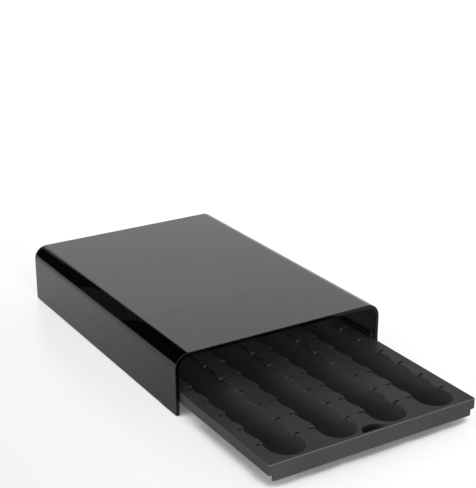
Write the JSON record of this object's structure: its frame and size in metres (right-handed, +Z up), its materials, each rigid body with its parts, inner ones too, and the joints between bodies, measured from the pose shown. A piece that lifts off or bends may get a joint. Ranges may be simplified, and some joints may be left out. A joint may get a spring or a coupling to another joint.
{
  "type": "coffee pod drawer",
  "caption": "Low drawer for coffee pods: a smoked acrylic cover, open at the front, over a sliding tray whose deck has rows of slots and half-round bays for pods on edge.",
  "frame": {"origin": "centre of the bounding box in plan at the underside of the rubber feet, with the tray drawn out as stored", "axes": "+Z up; -Y is the open front that the tray slides out of; +X is the right side as seen from the front"},
  "size_m": [0.292, 0.5978, 0.0778],
  "materials": {
    "smoked_acrylic": "polished, smoked and see-through",
    "tray_plastic": "satin moulded black",
    "runner_plastic": "satin black",
    "pin_steel": "blackened",
    "black_rubber": "matte"
  },
  "bodies": {
    "cover": {"cover_shell": "smoked_acrylic", "back_panel": "smoked_acrylic", "left_ledge": "runner_plastic", "right_ledge": "runner_plastic", "left_guide": "runner_plastic", "right_guide": "runner_plastic", "left_stop_pin": "pin_steel", "right_stop_pin": "pin_steel", "left_bumper": "black_rubber", "right_bumper": "black_rubber", "front_left_foot": "black_rubber", "front_right_foot": "black_rubber", "rear_left_foot": "black_rubber", "rear_right_foot": "black_rubber"},
    "tray": {"pod_tray": "tray_plastic"}
  },
  "joints": [
    {"name": "drawer_slide", "type": "slide", "parent": "cover", "child": "tray", "axis": [0, -1, 0], "range_m": [-0.1875, 0.1125]}
  ]
}
